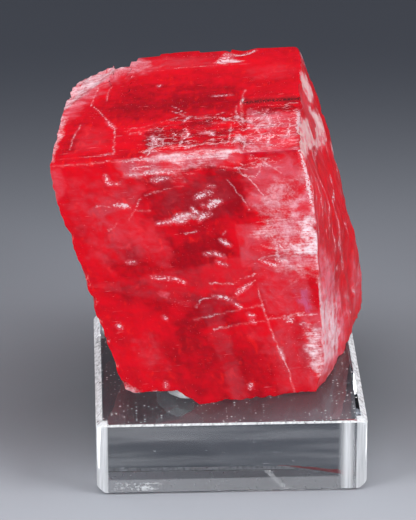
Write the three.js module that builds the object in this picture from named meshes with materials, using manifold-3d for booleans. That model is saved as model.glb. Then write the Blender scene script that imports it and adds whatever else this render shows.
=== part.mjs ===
// A cleaved rhodochrosite crystal held on a clear display block by a wad of mineral tack.
// Millimetres, +Z up. The origin is the middle of the block's underside.

import * as THREE from "three";
import { mergeVertices } from "three/addons/utils/BufferGeometryUtils.js";
import Module from "manifold-3d";

const wasm = await Module();
wasm.setup();

// ---- driving dimensions ----

const GAP = 0.3; // clearance between pieces that touch

const BLOCK_SIDE = 50.8; // the block is square in plan
const BLOCK_HEIGHT = 14.4;
const BLOCK_CORNER_RADIUS = 2.2; // the four upright edges
const BLOCK_EDGE_BEVEL = 0.6; // polished bevel around the top and bottom faces
const CORNER_STEPS = 6;

// The crystal is a cleavage rhomb. Its own coordinates are across, down and back, in mm along
// the rhomb's three edges from the top front left corner.
const CORNER = new THREE.Vector3(-32.7, -9.3, 60.4);
const ACROSS = new THREE.Vector3(0.982, 0.188, -0.023).normalize();
const DOWN = new THREE.Vector3(0.291, -0.215, -0.932).normalize();
const BACK = new THREE.Vector3(0.062, 0.997, 0.04).normalize();

// The unbroken rhomb, from its lowest to its highest across, down and back.
const RHOMB_LOW = [-1.5, 0, 0];
const RHOMB_HIGH = [47.9, 49.1, 48.4];
const RHOMB_MIDDLE = [22, 24, 24];

// Each break is one or more planes, each through three points of the crystal. What lies outside
// all of a break's planes is gone.
const BREAKS = {
  left_rim: [[[0.2, 0, 0], [2.2, 0, 30], [-1.5, 3.2, 12]]],
  left_flank: [[[-1.2, 6, 0], [-0.4, 46, 0], [1.2, 42, 46]]],
  back_corner: [[[2.4, 0, 22], [12.8, 0, 42], [1.2, 3, 39]]],
  back_corner_fall: [[[1, 3.4, 41], [7.5, 2.5, 48.4], [-1.5, 15, 44]]],
  back_lower_edge: [[[6, 40, 48.4], [44, 37, 48.4], [20, 49, 43]]],
  right_upper: [[[47.3, 0, 0], [47.3, 0, 48.4], [47.9, 19, 44]]],
  right_side: [[[46.3, 13, 0], [38, 46, 0], [44.6, 46, 30]]],
  right_foot: [[[41.2, 39.1, 0], [36.2, 47.8, 0], [42.4, 46, 14]]],
  right_back_edge: [[[47.9, 19, 47.5], [45.4, 38, 45], [47.9, 35, 36]]],
  left_foot: [
    [[-1, 44.8, 0], [7.4, 45.8, 0], [2, 44.4, 40]],
    [[7.4, 45.8, 0], [13.9, 49.1, 0], [12.6, 49.1, 34]],
  ],
};

// Steps where a slab of crystal has parted along the cleavage: lowest and highest corner.
const CLEAVAGE_STEPS = [
  [[-3, -1, 46.2], [13, 26, 50]],
  [[9.4, -1, 43.6], [13, 2.4, 50]],
  [[27, -1, 47.6], [33, 5, 50]],
  [[-3, 24, 45], [6, 52, 50]],
  [[36, 30, 46.8], [50, 52, 50]],
  [[-3, 30, -1], [-0.7, 42, 16]],
  [[21.6, 47.6, -1], [23.8, 52, 4]],
];

const TACK_MIDDLE = [-5.4, -6.2]; // x and y of the wad on the block
const TACK_RADIUS = [8, 8.6]; // half its size along x and y
const TACK_HEIGHT = 4.6;
const TACK_DETAIL = [18, 10]; // slices around and down

const CUTTER = 200; // a block large enough to cut away anything beyond a plane

// ---- solids ----

function asSolid(geometry) {
  const bare = geometry.clone();
  bare.deleteAttribute("normal");
  bare.deleteAttribute("uv");
  const merged = mergeVertices(bare, 1e-5);
  return new wasm.Manifold(new wasm.Mesh({
    numProp: 3,
    vertProperties: new Float32Array(merged.attributes.position.array),
    triVerts: new Uint32Array(merged.index.array),
  }));
}

function asMesh(solid, name, material) {
  const { numProp, vertProperties, triVerts } = solid.getMesh();
  if (numProp !== 3) {
    throw new Error(`${name}: expected bare positions`);
  }
  const geometry = new THREE.BufferGeometry();
  geometry.setAttribute("position", new THREE.BufferAttribute(Float32Array.from(vertProperties), 3));
  geometry.setIndex(new THREE.BufferAttribute(Uint32Array.from(triVerts), 1));
  geometry.computeVertexNormals();
  const mesh = new THREE.Mesh(geometry, material);
  mesh.name = name;
  return mesh;
}

function crystalPoint([across, down, back]) {
  return CORNER.clone()
    .addScaledVector(ACROSS, across)
    .addScaledVector(DOWN, down)
    .addScaledVector(BACK, back);
}

/** A block whose edges run along the rhomb's edges, between two corners in crystal coordinates. */
function rhombBetween(low, high) {
  const size = high.map((value, i) => value - low[i]);
  const geometry = new THREE.BoxGeometry(...size);
  geometry.translate(...low.map((value, i) => value + size[i] / 2));
  const toWorld = new THREE.Matrix4().makeBasis(ACROSS, DOWN, BACK).setPosition(CORNER);
  geometry.applyMatrix4(toWorld);
  return asSolid(geometry);
}

/** Everything on the far side of a plane, as a large block standing on it. */
function beyondPlane(point, normal) {
  const geometry = new THREE.BoxGeometry(CUTTER, CUTTER, CUTTER);
  geometry.translate(0, 0, CUTTER / 2);
  const turn = new THREE.Quaternion().setFromUnitVectors(new THREE.Vector3(0, 0, 1), normal);
  geometry.applyQuaternion(turn);
  geometry.translate(point.x, point.y, point.z);
  return asSolid(geometry);
}

function beyondBreak(planes) {
  const outsides = planes.map((points) => {
    const [p, q, r] = points.map(crystalPoint);
    const normal = new THREE.Vector3().crossVectors(q.clone().sub(p), r.clone().sub(p)).normalize();
    const inside = crystalPoint(RHOMB_MIDDLE).sub(p);
    if (normal.dot(inside) > 0) {
      normal.negate();
    }
    return beyondPlane(p, normal);
  });
  return outsides.reduce((common, outside) => common.intersect(outside));
}

// ---- pieces ----

function makeBlock() {
  const half = BLOCK_SIDE / 2 - BLOCK_EDGE_BEVEL;
  const radius = BLOCK_CORNER_RADIUS - BLOCK_EDGE_BEVEL;
  const inner = half - radius;
  const outline = new THREE.Shape();
  outline.moveTo(inner, -half);
  outline.absarc(inner, -inner, radius, -Math.PI / 2, 0);
  outline.absarc(inner, inner, radius, 0, Math.PI / 2);
  outline.absarc(-inner, inner, radius, Math.PI / 2, Math.PI);
  outline.absarc(-inner, -inner, radius, Math.PI, 1.5 * Math.PI);
  const geometry = new THREE.ExtrudeGeometry(outline, {
    depth: BLOCK_HEIGHT - 2 * BLOCK_EDGE_BEVEL,
    bevelThickness: BLOCK_EDGE_BEVEL,
    bevelSize: BLOCK_EDGE_BEVEL,
    bevelSegments: 1,
    curveSegments: CORNER_STEPS,
  });
  geometry.translate(0, 0, BLOCK_EDGE_BEVEL);
  return asSolid(geometry);
}

function makeCrystal() {
  let crystal = rhombBetween(RHOMB_LOW, RHOMB_HIGH);
  for (const planes of Object.values(BREAKS)) {
    crystal = crystal.subtract(beyondBreak(planes));
  }
  for (const [low, high] of CLEAVAGE_STEPS) {
    crystal = crystal.subtract(rhombBetween(low, high));
  }
  const blockTop = new THREE.Vector3(0, 0, BLOCK_HEIGHT + GAP);
  return crystal.subtract(beyondPlane(blockTop, new THREE.Vector3(0, 0, -1)));
}

/** A flattened wad, pressed between the block's top and the crystal's broken foot. */
function makeTack(crystal) {
  const geometry = new THREE.SphereGeometry(1, ...TACK_DETAIL);
  geometry.rotateX(Math.PI / 2);
  geometry.scale(TACK_RADIUS[0], TACK_RADIUS[1], TACK_HEIGHT);
  geometry.translate(TACK_MIDDLE[0], TACK_MIDDLE[1], BLOCK_HEIGHT + GAP + 0.5);
  const blockTop = new THREE.Vector3(0, 0, BLOCK_HEIGHT + GAP);
  return asSolid(geometry)
    .subtract(beyondPlane(blockTop, new THREE.Vector3(0, 0, -1)))
    .subtract(crystal.translate([0, 0, -GAP]));
}

// ---- the specimen ----

const clearAcrylic = new THREE.MeshStandardMaterial({ color: 0xc4cad2, roughness: 0.08, metalness: 0 });
const redCrystal = new THREE.MeshStandardMaterial({ color: 0xc41f30, roughness: 0.28, metalness: 0 });
const whiteTack = new THREE.MeshStandardMaterial({ color: 0xe6e8ea, roughness: 0.6, metalness: 0 });

const crystalSolid = makeCrystal();
const group = new THREE.Group();
group.add(asMesh(makeBlock(), "display_block", clearAcrylic));
group.add(asMesh(crystalSolid, "rhodochrosite_crystal", redCrystal));
group.add(asMesh(makeTack(crystalSolid), "mounting_tack", whiteTack));

export default group;
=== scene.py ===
# A cleaved rhodochrosite crystal held on a clear display block by a wad of mineral tack.
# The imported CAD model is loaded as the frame, and the finished surfaces are built around it.

import random
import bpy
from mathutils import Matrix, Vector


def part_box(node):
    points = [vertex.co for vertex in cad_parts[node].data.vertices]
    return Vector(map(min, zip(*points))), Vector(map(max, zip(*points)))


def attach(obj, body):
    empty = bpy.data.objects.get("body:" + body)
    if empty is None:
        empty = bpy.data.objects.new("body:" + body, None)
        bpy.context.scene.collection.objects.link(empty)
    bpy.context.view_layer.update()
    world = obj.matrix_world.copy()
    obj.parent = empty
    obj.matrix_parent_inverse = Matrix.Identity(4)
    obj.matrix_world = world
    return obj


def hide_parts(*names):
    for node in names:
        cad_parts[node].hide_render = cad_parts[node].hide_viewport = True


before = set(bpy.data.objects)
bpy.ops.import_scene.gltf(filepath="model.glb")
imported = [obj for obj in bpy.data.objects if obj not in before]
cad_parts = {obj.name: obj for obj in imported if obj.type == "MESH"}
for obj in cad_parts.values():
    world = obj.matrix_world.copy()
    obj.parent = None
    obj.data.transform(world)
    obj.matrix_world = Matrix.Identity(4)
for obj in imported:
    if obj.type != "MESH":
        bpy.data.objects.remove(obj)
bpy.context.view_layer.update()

from types import SimpleNamespace

import bmesh
import bpy
import numpy as np
from bpy.props import FloatProperty, FloatVectorProperty, IntProperty, IntVectorProperty, PointerProperty
from mathutils import Matrix, Vector, noise
from mathutils.bvhtree import BVHTree

bl_info = {
    "name": "Rhodochrosite specimen",
    "version": (1, 0, 0),
    "blender": (4, 5, 0),
    "location": "3D View > Sidebar > Specimen",
    "description": "A red cleavage rhomb on a clear acrylic block",
    "category": "Add Mesh",
}

MM = 0.001
BLOCK_LOW, BLOCK_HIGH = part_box("display_block")
TACK_LOW, TACK_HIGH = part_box("mounting_tack")
BLOCK_TOP = BLOCK_HIGH.z / MM

# ---- the crystal's own coordinates ----
# Across, down and back, in mm along the rhomb's three edges from its top front left corner.

ACROSS, DOWN, BACK = 0, 1, 2
CORNER = np.array((-32.7, -9.3, 60.4))
EDGES = np.array(((0.982, 0.188, -0.023), (0.291, -0.215, -0.932), (0.062, 0.997, 0.04)))
EDGES /= np.linalg.norm(EDGES, axis=1)[:, None]
FROM_FRAME = np.linalg.inv(EDGES.T)

RHOMB_LOW = (-1.5, 0.0, 0.0)
RHOMB_HIGH = (47.9, 49.1, 48.4)
REST_GAP = 0.03  # how close the crystal's foot and the tack come to the block's top

# Each break is a plane through three points: what lies beyond it is gone.
LEFT_BREAKS = (
    ((-1.2, 6, 0), (-0.4, 46, 0), (1.2, 42, 46)),
    ((-0.35, 0, 0), (-1.15, 4, 0), (1.0, 0, 30)),
)
TOP_BREAKS = (
    ((2.4, 0, 27), (12.8, 0, 47), (1.2, 3, 44)),
    ((1, 3.4, 45.7), (7.5, 2.5, 53.1), (-1.5, 15, 48.7)),
)
RIGHT_BREAKS = (
    ((47.3, 0, 0), (47.3, 0, 48.4), (47.9, 19, 44)),
    ((46.3, 13, 0), (38, 46, 0), (44.6, 46, 30)),
    ((41.2, 39.1, 0), (36.2, 47.8, 0), (42.4, 46, 14)),
    ((47.9, 19, 47.5), (45.4, 38, 45), (47.9, 35, 36)),
)
REAR_BREAKS = (((6, 40, 48.4), (44, 37, 48.4), (20, 49, 43)),)
FOOT_BREAKS = (
    ((-1, 45.5, 0), (8.4, 46.0, 0), (2, 44.8, 40)),
    ((9.4, 46.0, 0), (13.0, 49.1, 0), (12.0, 49.1, 34)),
)
PARTING_WANDER = 0.5  # how far the edges of parted slabs wander
# Slabs that have parted from the rear: across from and to, down from and to, and how far back is left.
REAR_STEPS = (
    (-3, 14, -1, 26, 46.0),
    (9.4, 13, -1, 2.4, 43.6),
    (13.5, 19, -1, 8, 47.6),
    (27, 33, -1, 5, 47.6),
    (-3, 6, 24, 52, 45.0),
    (36, 50, 30, 52, 46.8),
)

# ---- marks on the front face, as (across, down) ----
# A scuff is its half width and the line that it follows.

FRONT_SCUFFS = (
    (0.10, ((13.5, 0.3), (20.5, 0.5), (27, 0.5), (33.8, 0.6))),
    (0.12, ((12.8, 3.2), (17.7, 2.8), (22.3, 3.1))),
    (0.20, ((17.5, 4.4), (20.5, 4.1))),
    (0.24, ((9.3, 2.9), (9.2, 4.5))),
    (0.02, ((9.2, 4.5), (11.4, 4.6))),
    (0.42, ((9.2, 8.7), (11.7, 9.1))),
    (0.14, ((15.8, 12.9), (18.4, 12.6), (20, 11.9))),
    (0.42, ((18.8, 12.4), (20.6, 11.8), (23, 11.4))),
    (0.20, ((19.6, 12.9), (21.6, 12.6))),
    (0.36, ((47.2, 0), (46.9, 5), (46.4, 9.5), (45.9, 13.5))),
    (0.20, ((44.6, 26), (43.6, 31), (42.6, 35))),
    (0.34, ((24.6, 8.4), (25.6, 8), (26.8, 7.7))),
    (0.22, ((26.9, 7.2), (27.4, 7.6), (28, 7.6))),
    (0.50, ((26.5, 10.5), (27.4, 9.7), (29.2, 9.2))),
    (0.30, ((24, 12.7), (25, 11.9), (26.5, 11.6))),
    (0.24, ((23.4, 10.2), (23.6, 10.9), (24.2, 11.2))),
    (0.12, ((25.4, 9.9), (25.8, 9.9))),
    (0.12, ((27.8, 6.2), (28.8, 6.4))),
    (0.12, ((8, 19.9), (9.4, 20))),
    (0.14, ((11.7, 23.2), (14.1, 23.6))),
    (0.08, ((14.1, 23.6), (16, 23.9), (17.5, 24.7))),
    (0.14, ((11.5, 31.2), (11.8, 31.5))),
    (0.36, ((2.4, 32.2), (2.9, 32.5))),
    (0.24, ((26.8, 17), (28.2, 18.1))),
    (0.18, ((23, 19.5), (25.1, 19.5), (26.5, 20.4))),
    (0.10, ((24.9, 21.2), (26.5, 22))),
    (0.20, ((26.6, 27.6), (29.8, 26))),
    (0.20, ((22.1, 27.9), (24, 28.2), (25.4, 29.2))),
    (0.14, ((25, 28.8), (26.5, 30.4))),
    (0.20, ((27.6, 32), (28.4, 32.4))),
    (0.16, ((27.6, 33.4), (28.2, 33.6))),
    (0.16, ((37.1, 18.2), (38.1, 19.9))),
    (0.26, ((36.1, 21.6), (38.3, 22.2))),
    (0.16, ((33, 21.6), (35.6, 22.8))),
    (0.24, ((34.4, 34.1), (35.6, 33.7))),
    (0.14, ((31.3, 39.5), (31.5, 41.4))),
    (0.22, ((23.3, 46.5), (23.8, 45.8))),
    (0.18, ((7.6, 45), (7.9, 44.2))),
    (0.12, ((4.9, 46), (5.4, 45.8))),
)
# Hairlines: thin scratches and the edges of sheets.
FRONT_HAIRLINES = (
    ((-0.9, 0.4), (4.5, 0.4), (9, 0.3), (13, 0.2), (22, 0.3)),
    ((5.6, 8.6), (8.4, 9.1)),
    ((14.4, 7.7), (12.7, 9.5), (10.9, 11.8)),
    ((6.4, 13.4), (8.8, 12.4)),
    ((15.3, 7.2), (19.4, 6.2), (23.2, 5.7)),
    ((13, 10), (15.4, 10.4)),
    ((31.8, 5.2), (33, 8.4), (34.2, 11.4)),
    ((33.8, 3), (36.2, 6), (37.6, 9)),
    ((35, 4.4), (37.2, 5.2), (39.4, 2.2), (42.4, 4.6)),
    ((31, 2.6), (35, 3.4), (39, 3), (43, 3.6)),
    ((32.6, 1.4), (36, 2.6), (41, 1.6)),
    ((21.8, 25.4), (26.5, 25.6), (31.6, 24)),
    ((18, 29.6), (20, 28.1), (22.1, 27.9)),
    ((24, 28.2), (26, 28.4), (28.2, 26.8)),
    ((29.8, 26), (31, 25.2)),
    ((33, 21.8), (33.8, 20.9), (38, 20.7)),
    ((36.6, 14), (37, 18), (36.6, 22)),
    ((42.4, 15), (42.2, 19), (41.6, 22.6)),
    ((44.8, 14.6), (44.4, 19), (43.8, 23)),
    ((38, 16), (41, 16.4), (44.6, 15.8)),
    ((38.4, 19.4), (41.4, 19), (45, 19.6)),
    ((34, 18.6), (36.4, 19.6), (38.4, 18.8)),
    ((33.9, 33.6), (36.2, 33), (40.6, 33)),
    ((20, 34.4), (27, 33.6), (33.6, 33.2), (38, 32.4)),
    ((30.9, 27), (30.7, 29.4), (30.7, 34), (30.9, 37.1), (31.3, 39.5)),
    ((31.5, 41.4), (31.7, 44.7), (31.6, 48.1)),
    ((17, 32.2), (24, 31.2), (30.4, 30.4)),
    ((27.6, 16), (28.4, 15)),
    ((20.6, 15.2), (22.6, 14.8)),
)
# A patch is its strength, how soft its outline is in mm, and its outline.
FRONT_FROST = (
    (0.95, 2, ((42.8, 13.6), (46.4, 13), (46, 19.5), (44.6, 24.6), (42.9, 21.8), (40.6, 20.9), (42.2, 17))),
    (0.38, 3, ((36, 7), (46.9, 4), (45.8, 16), (44, 27), (34, 24), (34.5, 15))),
    (0.66, 1.2, ((37.4, 35.4), (40.4, 35.4), (39.6, 41), (38.4, 46), (36.2, 44.8), (36.8, 40))),
    (0.62, 0.5, ((43, 25.5), (44.5, 25.8), (42.6, 34.5), (41.6, 33))),
    (0.56, 0.9, ((15.5, -1.2), (34.6, -1.2), (33.6, 1), (24, 1.5), (17, 0.6))),
    (0.44, 1, ((12, 2.4), (20, 2), (31, 1.2), (30, 2.6), (20, 3.6), (12.6, 3.8))),
    (0.34, 1.6, ((15.5, 3.6), (24, 3.2), (24, 5.2), (16, 5))),
    (0.50, 0.9, ((33.2, 16.4), (36.2, 13.8), (38.6, 15.6), (36.4, 17.9))),
    (0.52, 0.8, ((37.6, 17.4), (40.4, 17), (40, 21.4), (37.2, 21.6))),
    (0.44, 0.7, ((17.4, 12.9), (22.4, 10.9), (25.6, 10.8), (24.4, 12.8), (18.2, 13.4))),
    (0.50, 0.8, ((-1, 43), (1.8, 45), (4.8, 46.6), (-0.8, 46.4))),
    (0.42, 0.6, ((30.6, 38.8), (31.8, 39.2), (32, 42), (31, 41.6))),
    (0.40, 1.6, ((37, 45), (41.5, 40), (42.5, 44), (37, 49))),
)
FRONT_MILK = (
    (0.30, 3, ((29, 36), (37, 35), (36, 47), (30, 48))),
    (0.60, 1.5, ((36, 4.7), (37, 1.5), (47.2, 1.2), (45.8, 14), (38.5, 13.8), (36.8, 11.4), (34, 10.7))),
    (0.95, 1.8, ((42, 7.5), (47.2, 7), (46.2, 14.5), (40.5, 14))),
    (0.75, 0.9, ((38, 13.6), (46.2, 13.6), (44.5, 24), (35.6, 22.8))),
    (0.38, 0.3, ((30.4, 14.2), (37.8, 14.6), (36, 22.9), (29.2, 22.8))),
    (0.34, 0.7, ((31.4, 22), (40.5, 22.6), (40.8, 32), (36.5, 33), (31, 32))),
    (0.50, 0.9, ((12, -0.5), (36, -0.5), (35, 2), (24, 2.6), (12.6, 3.6))),
    (0.12, 2, ((18, 3), (33, 3), (30, 12), (17, 11))),
    (0.50, 1.2, ((37, 32.5), (42.8, 32), (39.8, 46), (35, 46.6))),
    (0.24, 1, ((31.6, 33), (36, 33), (36, 40), (31.4, 39.6))),
    (0.62, 0.3, ((11.6, 26.5), (12.6, 25.9), (14.1, 26.5), (13.2, 27.6), (11.9, 27.3))),
    (0.40, 0.5, ((-1.5, 0.6), (1.3, 0.6), (1.5, 5), (-1.3, 7))),
    (0.30, 4, ((2, 5), (14, 5), (13, 16), (4, 20))),
    (0.26, 3, ((10, 14), (16, 14), (15, 20), (10, 19))),
    (0.30, 2, ((5, 36), (9, 36), (9, 40), (5, 40))),
    (0.16, 0.8, ((19, 30.5), (22.2, 30), (22.6, 49.5), (19.4, 49.5))),
    (0.12, 0.4, ((-1, 24), (31, 20.5), (31, 29), (20, 30.5))),
    (0.35, 1.6, ((34, 46), (42.5, 41), (42.5, 46), (36, 49))),
)
FRONT_SHEEN = 0.02  # painted sheen: the whole front face is veiled faintly with milky pink, where it catches the light
# Darker clear patches. The narrow upright bars among them are painted dark reflections from sheets inside
# the crystal.
FRONT_DEEP = (
    (0.72, 3.4, ((15.8, 4.6), (30.8, 4.9), (30.6, 12.6), (15.1, 11.1))),
    (0.75, 1.8, ((31.1, 3.7), (34.4, 4.3), (33.6, 10.4), (33.2, 13.4), (28.8, 13.2), (28.8, 10.3))),
    (0.80, 0.7, ((27.6, 2.6), (29.4, 2.6), (29.4, 7.6), (27.8, 7.4))),
    (0.80, 0.6, ((29.9, 3), (31.2, 3), (32.6, 9), (31.6, 9.6))),
    (0.55, 2.2, ((17, 16.6), (28, 15.8), (28.6, 20.6), (17, 23.2))),
    (0.40, 2, ((6, 14), (11, 17), (12, 30), (5, 27))),
    (0.50, 1.2, ((12.4, 31.9), (17.6, 32.3), (16.9, 38.6), (12, 37.6))),
    (0.55, 1.8, ((17, 27.6), (26, 27.9), (25.6, 34), (16.6, 33.4))),
    (0.30, 3, ((8, 36), (27, 36), (26, 48), (10, 46))),
)
# Coloured fringes from a thin gap inside the crystal.
FRONT_FRINGE = ((0.42, 0.8, ((37.8, 28.3), (40.2, 28.3), (39.6, 33), (37.4, 33))),)
FRONT_SHATTER = (
    (0.80, 0.8, ((12.5, 0.2), (37, 0.2), (44, 1.2), (40, 4.6), (30, 4.2), (14, 4.6))),
    (0.55, 1.2, ((33, 13), (45.5, 11), (44.2, 24), (34, 23))),
    (0.45, 1, ((36.6, 33), (41.5, 32), (38.8, 45.6), (35, 45))),
)

# ---- marks on the top face, as (across, back) ----

TOP_SCUFFS = (
    (0.14, ((9.6, 17.6), (11.2, 14.3))),
    (0.12, ((9.6, 2.9), (11.2, 3.3))),
    (0.24, ((18.5, 10.3), (18.9, 8.2), (19.4, 6.6))),
    (0.20, ((25.6, 17.8), (24.6, 15.2))),
    (0.16, ((25, 11.6), (25.5, 9), (24.6, 7.6))),
    (0.32, ((27.8, 9.8), (29.9, 9.9), (30.4, 8.4))),
    (0.24, ((35.2, 7.4), (36.8, 9))),
    (0.10, ((29.9, 26.6), (33.7, 26.4))),
    (0.26, ((19, 33), (19.2, 33.4))),
    (0.70, ((30.2, 42.6), (32, 43.8), (35, 42.6))),
    (0.30, ((31, 44.6), (32, 45.6), (33.4, 45.2))),
    (0.60, ((32, 46.6), (35, 46.4), (38, 47.6))),
    (0.14, ((40.6, 20.4), (40, 17.6), (39.2, 15.4))),
    (0.22, ((40.4, 18), (40.8, 15.4), (41.2, 12.4))),
    (0.20, ((41, 8.4), (40.9, 4.6), (42.6, 2.6))),
    (0.18, ((45, 11.6), (44.8, 7.2))),
    (0.30, ((34.2, 4.2), (35.4, 5.6), (36.4, 6.8))),
    (0.50, ((46.6, 19), (46.9, 13.6), (46.6, 8.4))),
    (0.12, ((12.4, 38), (13.6, 38.6))),
)
TOP_HAIRLINES = (
    ((6.7, 25), (9, 19.6), (11.2, 14.3)),
    ((11.2, 14.3), (11.4, 8), (11.4, 2.5)),
    ((-0.6, 1.8), (1.8, 2.1), (5.2, 2), (8.6, 2.4), (12, 1.6)),
    ((13, 12.6), (16.1, 13.8), (20.8, 16.2), (23.7, 17.2), (30.5, 17.6)),
    ((14, 11), (17.5, 12.4), (20, 11.9)),
    ((16.8, 8), (18.9, 8.2), (20.4, 10.2)),
    ((22.6, 11.2), (25.2, 11.9), (29.5, 12.9), (33.6, 13.2)),
    ((33.8, 13), (33.4, 4.7)),
    ((18, 4.5), (22, 5.2), (26, 4.5), (33.3, 4.6)),
    ((21, 8.6), (24, 9.4)),
    ((36.4, 28.5), (35.4, 21.4), (36.2, 14)),
    ((17, 40.2), (22.9, 41.2), (37.1, 41.5)),
    ((36.2, 12), (38, 13.6), (39.2, 15.4), (40.6, 16.4), (42.4, 17), (44.6, 16.2)),
    ((36.4, 15.4), (38.4, 17.2), (40.8, 16.4), (42.2, 14.2), (43.8, 13.2), (46, 13)),
    ((39.4, 21), (40.2, 18), (40.6, 14.2), (41.2, 10.4), (41, 6.4), (40.8, 3.6)),
    ((37.6, 17), (39.4, 16.6), (40.8, 16.4), (41.6, 18.6), (43.4, 19.4)),
    ((45, 16), (45, 11.6), (44.8, 7.2), (45.2, 3.6)),
    ((41, 10.6), (43, 11.8), (45, 10.2)),
    ((36.4, 9.2), (36.4, 4.8), (36.2, 1.8)),
    ((42.4, 18.2), (42.8, 15.6), (43.2, 12.4)),
    ((38, 6.4), (41, 5.8), (44.8, 6.8)),
    ((36.8, 3), (39.6, 8), (38.4, 12.4), (40.2, 15.6)),
    ((40.4, 16.4), (38.6, 11), (36.8, 8.6)),
    ((40.6, 16), (42, 11), (44.4, 8.6)),
    ((31, 18), (32.6, 18.6), (34.2, 17), (35.8, 14.4)),
    ((32.8, 15), (35.4, 16), (37.6, 15.8), (40, 16.4)),
    ((34.6, 21.4), (34.8, 17), (35.4, 12.6)),
    ((26, 10.8), (28.8, 11), (32, 11), (35, 10.2), (37, 12)),
    ((26, 4), (30, 3.8), (34.6, 3.2)),
    ((14.8, 12.2), (16.6, 10.6), (18.4, 8.6), (18.9, 4.6), (17.8, 0.8)),
    ((14, 11.4), (16.2, 12.8), (20.8, 14.2), (24.4, 14.6)),
    ((22.2, 20.6), (24.6, 18.4), (27, 16.6), (30, 16)),
    ((20.4, 5.2), (21, 8), (23.6, 9), (25.2, 9.8)),
    ((24.6, 10), (24.2, 6.8), (24, 4), (27.4, 2.4)),
    ((15.6, -0.4), (17.6, 1.2), (22.6, 1.6), (27.6, 1.6)),
    ((7, 34.8), (6.4, 30), (6, 25.6)),
    ((9.6, 34.5), (9, 31), (8.8, 27.5)),
    ((4.6, 17), (3.4, 12), (3, 6)),
    ((22, 23), (23.6, 21), (25, 19.4)),
    ((16, 6.4), (20, 6), (23.6, 6.6)),
    ((28, 14.6), (31, 14.2), (34.6, 15.2)),
)
TOP_FROST = (
    (0.58, 0.9, ((18, -1.2), (37, -1.2), (36, 1.6), (25, 2.2), (19, 1))),
    (0.62, 1.5, ((-3, 18), (0.5, 24), (3, 30), (6, 35.5), (9.5, 40.5), (12.5, 42.5), (12.5, 50),
                 (-3, 50))),
    (0.34, 2.2, ((-3, 16), (1, 22), (5.5, 28.5), (7.5, 33), (10, 37), (14, 39), (19, 42),
                 (14, 49), (-3, 50))),
    (0.60, 0.4, ((30, 41.6), (33.6, 44.6), (36.4, 42.8), (34, 42.2))),
    (0.46, 1.6, ((38.4, 12), (41.2, 11), (42.8, 14), (40.4, 17.6), (38.4, 15.6))),
    (0.36, 1.4, ((36.6, 1), (41.6, 1.4), (42, 6), (37, 5))),
    (0.36, 1.2, ((42.6, 3), (46.8, 3), (46.4, 11), (43.6, 10))),
    (0.55, 0.6, ((-2, 0), (0.2, 1), (1.2, 12), (2, 22), (-3, 24))),
    (0.50, 0.6, ((27.4, 9), (30.6, 8.6), (31, 10.4), (27.8, 10.6))),
    (0.50, 0.7, ((34.6, 5), (37, 7), (36.6, 10.2), (34.4, 8))),
)
TOP_MILK = (
    (0.55, 0.4, ((36.8, -0.5), (47.4, -0.5), (47.2, 12), (46.6, 17.6), (36.6, 20.7))),
    (0.45, 0.8, ((17.2, -0.5), (36.8, -0.5), (36.6, 3.2), (18, 2.6))),
    (0.14, 1.6, ((3.8, 5), (9.8, 5.4), (9.6, 13), (4.6, 17))),
    (0.75, 1.8, ((-3, 12), (1, 18), (5.5, 28), (8, 34), (11, 38), (18, 41.5), (14, 49),
                 (-3, 50))),
    (0.20, 2, ((16, 41), (30, 42), (28, 46), (16, 46))),
    (0.14, 2, ((38, 34), (45, 34), (45, 39), (38, 39))),
)
TOP_DEEP = (
    (0.42, 3.5, ((11, 18.5), (34.8, 18.5), (36, 31), (15, 33), (9.6, 27))),
    (0.30, 1.5, ((1.6, 3.2), (3.4, 4), (4.6, 18), (3, 19.5))),
    (0.20, 0.3, ((26, 4.8), (33.2, 4.8), (33.4, 12.2), (25.8, 11.8))),
    (0.65, 0.8, ((17.2, 5), (25.4, 5), (24.8, 12.4), (30, 13), (30, 16), (17.4, 12.6))),
    (0.50, 0.8, ((36.4, 18), (46.4, 18), (46.6, 23.4), (40, 22.4))),
)
TOP_SHATTER = (
    (1, 1, ((17.4, 2.6), (36, 3.2), (36.2, 17), (25, 17.8), (13.4, 15.4), (13, 12), (17.2, 10.4))),
    (1, 0.8, ((36.2, 0.6), (47, 0.6), (46.8, 22.6), (36.2, 22.4))),
    (0.5, 0.5, ((1, 0.8), (12, 1.8), (11.6, 4), (1.4, 3.4))),
)
LEDGE_BACK = 23.9  # the riser across the top face, and the panel in front of it that lies lower
LEDGE_ACROSS = 35.7
LEDGE_DROP = 0.7
LEDGE_SLOPE = 0.3
RISER_HALF = 0.5  # half the width of the strip of painted shade along the riser

# ---- marks on the broken right side, as (down, back) ----

RIGHT_SCUFFS = (
    (0.34, ((0.5, 4.5), (2.5, 2.5), (4.5, 0.5), (7, 0.2), (10, 0.2), (13, 0.2))),
    (0.12, ((5, 4.5), (6.5, 3), (7.5, 1.5))),
    (0.12, ((8.5, 20.5), (9.5, 15))),
    (0.30, ((18.5, 28.5), (20.3, 25.5), (20, 19.5))),
    (0.14, ((10.5, 2), (12, 3.5))),
    (0.24, ((20.5, 20), (22.2, 18.5), (25, 19), (27.5, 18.5))),
    (0.20, ((27, 25.5), (29.5, 26))),
    (0.24, ((27, 17.5), (30.7, 20), (34, 20.5))),
    (0.50, ((20, 42.5), (22.5, 39.5))),
    (0.30, ((41, 26.5), (43, 28))),
    (0.24, ((44, 23), (45, 24))),
    (0.36, ((28, 0.3), (31, 0.6))),
    (0.40, ((32, 1), (36, 2.6))),
    (0.30, ((40, 6.5), (44.5, 8.5))),
    (0.24, ((13.5, 1.4), (18, 2.2), (23, 1.8), (27, 2.6))),
    (0.18, ((2.5, 6), (8, 7.2), (13, 5.6), (17, 6.6))),
    (0.16, ((9, 11), (15, 12.5), (21, 11))),
    (0.16, ((22, 13), (28, 15.5), (33, 14))),
    (0.20, ((31, 5.4), (36, 6.6), (41, 4.8))),
)
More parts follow.
